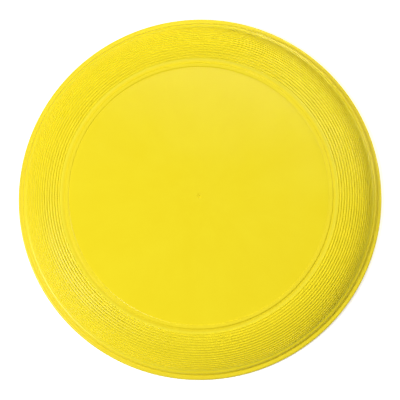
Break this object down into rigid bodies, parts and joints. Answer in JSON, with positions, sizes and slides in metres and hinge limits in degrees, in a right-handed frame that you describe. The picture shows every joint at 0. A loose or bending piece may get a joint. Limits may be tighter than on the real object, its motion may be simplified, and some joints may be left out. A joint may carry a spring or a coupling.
{
  "type": "flying disc",
  "caption": "Round closed flying disc for throwing and catching, with a flat centre, a ridged rounded shoulder and a thick rim that turns out into a narrow lip.",
  "frame": {"origin": "on the spin axis, in the plane of the flat foot of the rim, which is the plane the disc rests on", "axes": "+Z along the spin axis, out of the top face; X and Y are any two directions across the disc, which is the same all the way round"},
  "size_m": [0.21, 0.21, 0.02],
  "materials": {
    "yellow_polypropylene": "solid-coloured opaque polypropylene: a smooth centre plate with a soft sheen and a very fine mould texture, satin ridges and rim"
  },
  "bodies": {
    "root": {"disc_moulding": "yellow_polypropylene"}
  },
  "joints": []
}
